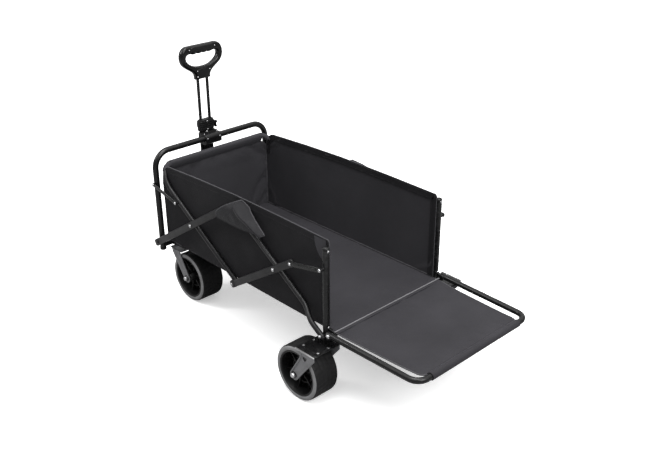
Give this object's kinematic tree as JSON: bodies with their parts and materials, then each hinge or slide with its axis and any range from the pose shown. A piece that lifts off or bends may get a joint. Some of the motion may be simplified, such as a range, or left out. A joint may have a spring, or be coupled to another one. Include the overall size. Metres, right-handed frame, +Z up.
{
  "type": "folding camp wagon",
  "caption": "Black folding camp wagon with a fabric bed, wide spoked wheels, swivelling front casters, telescoping pull handle and a drop-down tailgate.",
  "frame": {"origin": "on the ground under the middle of the overall length and width, wagon open with the tailgate down", "axes": "+Z up, +X towards the tailgate, -X towards the pull handle, +Y to the right-hand side of someone pulling it"},
  "size_m": [1.2938, 0.69, 0.893],
  "materials": {
    "frame": "black powder coat, semi-gloss",
    "bracket": "grey stamped and zinc plated steel",
    "bolt": "bright plated rivets and axle bolts",
    "fabric": "charcoal woven polyester, matt",
    "moulding": "black moulded plastic, fine texture",
    "tyre": "black tread band with grey side rings",
    "rim": "black spoked plastic wheel"
  },
  "bodies": {
    "front_frame": {"front_frame_tube": "frame", "front_lower_bar": "frame", "caster_plate_left": "frame", "caster_plate_right": "frame", "front_pivot_left": "bolt", "front_pivot_right": "bolt", "bed_floor": "fabric", "bed_front": "fabric", "bed_side_left": "fabric", "bed_side_right": "fabric", "handle_pivot_bracket": "frame", "handle_clip": "moulding"},
    "scissor_a": {"scissor_a_left": "frame", "scissor_a_right": "frame", "rivet_front_left": "bolt", "rivet_front_right": "bolt", "joint_flap_left": "fabric", "joint_flap_right": "fabric"},
    "scissor_b": {"scissor_b_frame": "frame", "floor_cross_bar": "frame"},
    "front_hem": {"front_hem_sleeve": "fabric"},
    "scissor_d": {"scissor_d_left": "frame", "scissor_d_right": "frame"},
    "scissor_c": {"scissor_c_left": "frame", "scissor_c_right": "frame", "rivet_rear_left": "bolt", "rivet_rear_right": "bolt"},
    "front_links": {"front_link_left": "frame", "front_link_right": "frame"},
    "rear_links": {"rear_link_left": "frame", "rear_link_right": "frame"},
    "rear_frame": {"rear_frame_tube": "frame", "rear_pivot_left": "bolt", "rear_pivot_right": "bolt", "rear_bracket_left": "bracket", "rear_bracket_right": "bracket", "rear_axle_left": "bolt", "rear_axle_right": "bolt", "gate_hinge_left": "bracket", "gate_hinge_right": "bracket"},
    "tailgate": {"tailgate_tube": "frame", "tailgate_panel": "fabric"},
    "handle": {"handle_outer_tubes": "frame", "handle_clamp": "moulding"},
    "handle_slider": {"handle_rod_left": "frame", "handle_rod_right": "frame", "handle_grip": "moulding"},
    "clamp_lever": {"clamp_lever": "moulding"},
    "caster_left": {"caster_fork_left": "bracket", "front_axle_left": "bolt"},
    "front_wheel_left": {"front_tyre_left": "tyre", "front_rim_left": "rim"},
    "rear_wheel_left": {"rear_tyre_left": "tyre", "rear_rim_left": "rim"},
    "caster_right": {"caster_fork_right": "bracket", "front_axle_right": "bolt"},
    "front_wheel_right": {"front_tyre_right": "tyre", "front_rim_right": "rim"},
    "rear_wheel_right": {"rear_tyre_right": "tyre", "rear_rim_right": "rim"}
  },
  "joints": [
    {"name": "fold", "type": "hinge", "parent": "front_frame", "child": "scissor_a", "pos_m": [-0.5988, 0, 0.222], "axis": [0, -1, 0], "range_deg": [0, 45], "deforming": ["bed_floor", "bed_side_left", "bed_side_right", "bed_front", "front_hem_sleeve"]},
    {"name": "scissor_b_pivot", "type": "hinge", "parent": "scissor_a", "child": "scissor_b", "pos_m": [-0.3813, 0, 0.3608], "axis": [0, -1, 0], "range_deg": [-90.5, 0.5]},
    {"name": "scissor_top_pivot", "type": "hinge", "parent": "scissor_a", "child": "scissor_d", "pos_m": [-0.1638, 0, 0.4996], "axis": [0, -1, 0], "range_deg": [-90.5, 0.5], "deforming": ["joint_flap_left", "joint_flap_right"]},
    {"name": "scissor_c_pivot", "type": "hinge", "parent": "scissor_d", "child": "scissor_c", "pos_m": [0.0537, 0, 0.3608], "axis": [0, -1, 0], "range_deg": [-0.5, 90.5]},
    {"name": "rear_frame_pivot", "type": "hinge", "parent": "scissor_d", "child": "rear_frame", "pos_m": [0.2712, 0, 0.222], "axis": [0, -1, 0], "range_deg": [-0.5, 45.5]},
    {"name": "front_link_pivot", "type": "hinge", "parent": "front_frame", "child": "front_links", "pos_m": [-0.5988, 0, 0.445], "axis": [0, -1, 0], "range_deg": [-0.5, 89]},
    {"name": "rear_link_pivot", "type": "hinge", "parent": "rear_frame", "child": "rear_links", "pos_m": [0.2712, 0, 0.445], "axis": [0, -1, 0], "range_deg": [-89, 0.5]},
    {"name": "front_hem_lift", "type": "slide", "parent": "front_frame", "child": "front_hem", "axis": [0.0267, 0, 0.9996], "range_m": [-0.005, 0.208]},
    {"name": "tailgate_hinge", "type": "hinge", "parent": "rear_frame", "child": "tailgate", "pos_m": [0.2992, 0, 0.232], "axis": [0, -1, 0], "range_deg": [0, 90]},
    {"name": "handle_pivot", "type": "hinge", "parent": "front_frame", "child": "handle", "pos_m": [-0.6328, 0, 0.206], "axis": [0, -1, 0], "range_deg": [0, 90]},
    {"name": "handle_slide", "type": "slide", "parent": "handle", "child": "handle_slider", "axis": [0, 0, 1], "range_m": [-0.15, 0.145]},
    {"name": "clamp_lever_pivot", "type": "hinge", "parent": "handle", "child": "clamp_lever", "pos_m": [-0.6328, 0.0392, 0.602], "axis": [1, 0, 0], "range_deg": [0, 70]},
    {"name": "caster_swivel_left", "type": "hinge", "parent": "front_frame", "child": "caster_left", "pos_m": [-0.5588, -0.169, 0.192], "axis": [0, 0, 1], "continuous": true},
    {"name": "front_wheel_spin_left", "type": "hinge", "parent": "caster_left", "child": "front_wheel_left", "pos_m": [-0.5018, -0.169, 0.092], "axis": [0, 1, 0], "continuous": true},
    {"name": "rear_wheel_spin_left", "type": "hinge", "parent": "rear_frame", "child": "rear_wheel_left", "pos_m": [0.2222, -0.285, 0.092], "axis": [0, 1, 0], "continuous": true},
    {"name": "caster_swivel_right", "type": "hinge", "parent": "front_frame", "child": "caster_right", "pos_m": [-0.5588, 0.169, 0.192], "axis": [0, 0, 1], "continuous": true},
    {"name": "front_wheel_spin_right", "type": "hinge", "parent": "caster_right", "child": "front_wheel_right", "pos_m": [-0.5018, 0.169, 0.092], "axis": [0, 1, 0], "continuous": true},
    {"name": "rear_wheel_spin_right", "type": "hinge", "parent": "rear_frame", "child": "rear_wheel_right", "pos_m": [0.2222, 0.285, 0.092], "axis": [0, 1, 0], "continuous": true}
  ],
  "couplings": [
    {"joint": "scissor_b_pivot", "follows": "fold", "ratio": -2},
    {"joint": "scissor_top_pivot", "follows": "fold", "ratio": -2},
    {"joint": "scissor_c_pivot", "follows": "fold", "ratio": 2},
    {"joint": "rear_frame_pivot", "follows": "fold", "ratio": 1},
    {"joint": "front_link_pivot", "follows": "fold", "ratio": 1.9545},
    {"joint": "rear_link_pivot", "follows": "fold", "ratio": -1.9545},
    {"joint": "front_hem_lift", "follows": "fold", "m_per_rad": 0.25794}
  ]
}
